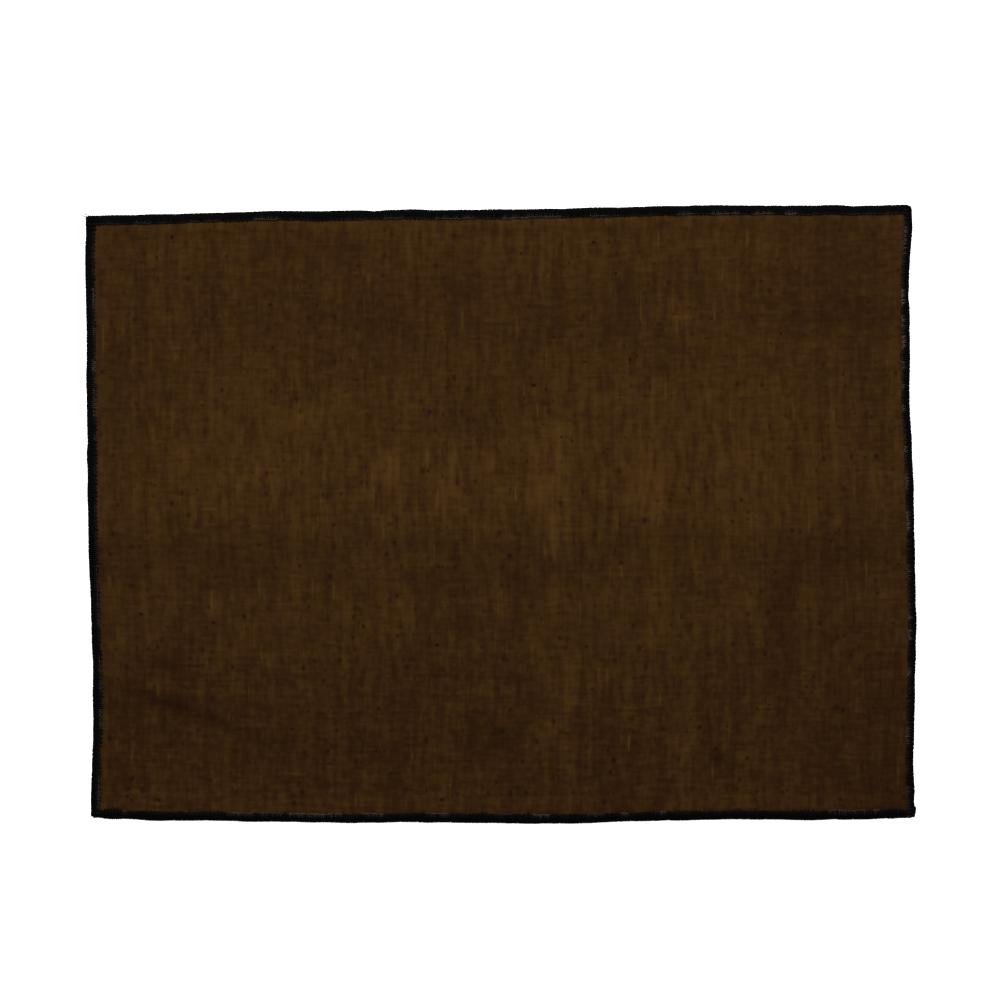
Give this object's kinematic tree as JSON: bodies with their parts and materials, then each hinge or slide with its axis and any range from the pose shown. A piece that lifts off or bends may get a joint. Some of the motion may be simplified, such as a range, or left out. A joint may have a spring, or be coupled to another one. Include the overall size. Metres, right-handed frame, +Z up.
{
  "type": "fabric placemat",
  "caption": "Rectangular table mat of plain-woven dark brown linen with a black overlocked edge, lying flat with a soft crease across its middle.",
  "frame": {"origin": "middle of the mat's outline, on the surface that the mat lies on", "axes": "+X along the mat's length, +Y towards its back side (the top of the picture), +Z up out of its face"},
  "size_m": [0.4825, 0.3592, 0.0054],
  "materials": {
    "linen": "plain-woven slubby linen, dark brown, matt",
    "overlock_thread": "thick black overlock thread"
  },
  "bodies": {
    "root": {"linen_panel": "linen", "overlock_front": "overlock_thread", "overlock_right": "overlock_thread", "overlock_back": "overlock_thread", "overlock_left": "overlock_thread"}
  },
  "joints": []
}
